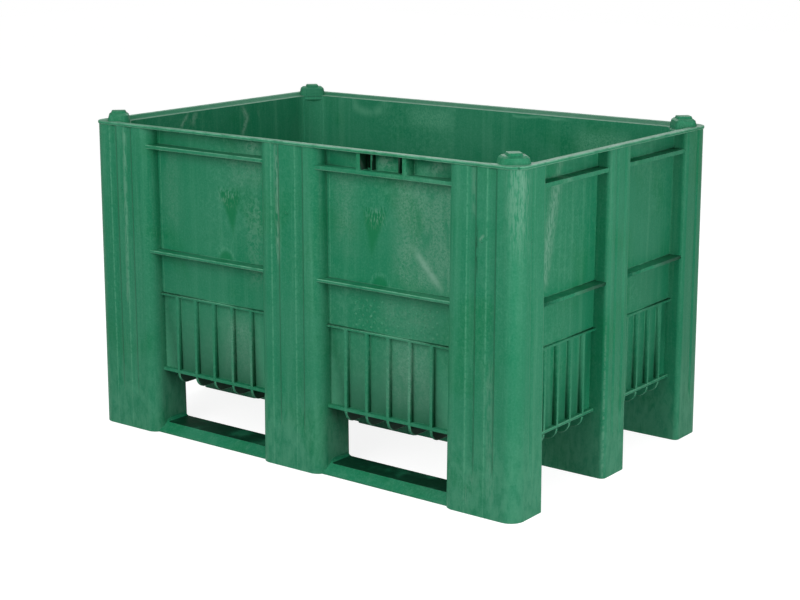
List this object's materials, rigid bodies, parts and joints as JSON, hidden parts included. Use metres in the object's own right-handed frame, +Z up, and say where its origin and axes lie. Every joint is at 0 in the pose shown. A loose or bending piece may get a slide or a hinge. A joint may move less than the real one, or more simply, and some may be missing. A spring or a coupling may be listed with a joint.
{
  "type": "pallet box",
  "caption": "Open plastic pallet box: a ribbed tub between hollow posts on runners, with a flanged rim, stacking studs on its corners and fork entry from every side.",
  "frame": {"origin": "on the ground, under the middle of the box", "axes": "+X along the long side to the right, +Y to the rear, +Z up"},
  "size_m": [1.2026, 0.8026, 0.7575],
  "materials": {
    "moulding": "moulded green polyethylene, flow-marked and scuffed"
  },
  "bodies": {
    "root": {"centre_floor_ribs": "moulding", "centre_foot": "moulding", "floor_plate": "moulding", "front_left_foot": "moulding", "front_left_panel": "moulding", "front_left_post": "moulding", "front_left_rail": "moulding", "front_left_stud": "moulding", "front_middle_foot": "moulding", "front_middle_post": "moulding", "front_right_foot": "moulding", "front_right_panel": "moulding", "front_right_post": "moulding", "front_right_rail": "moulding", "front_right_stud": "moulding", "front_rim": "moulding", "left_cross_ribs": "moulding", "left_end_ribs": "moulding", "left_front_panel": "moulding", "left_middle_foot": "moulding", "left_middle_post": "moulding", "left_rear_panel": "moulding", "left_rim": "moulding", "middle_left_rail": "moulding", "middle_right_rail": "moulding", "rear_left_foot": "moulding", "rear_left_panel": "moulding", "rear_left_post": "moulding", "rear_left_rail": "moulding", "rear_left_stud": "moulding", "rear_middle_foot": "moulding", "rear_middle_post": "moulding", "rear_right_foot": "moulding", "rear_right_panel": "moulding", "rear_right_post": "moulding", "rear_right_rail": "moulding", "rear_right_stud": "moulding", "rear_rim": "moulding", "right_cross_ribs": "moulding", "right_end_ribs": "moulding", "right_front_panel": "moulding", "right_middle_foot": "moulding", "right_middle_post": "moulding", "right_rear_panel": "moulding", "right_rim": "moulding"}
  },
  "joints": []
}
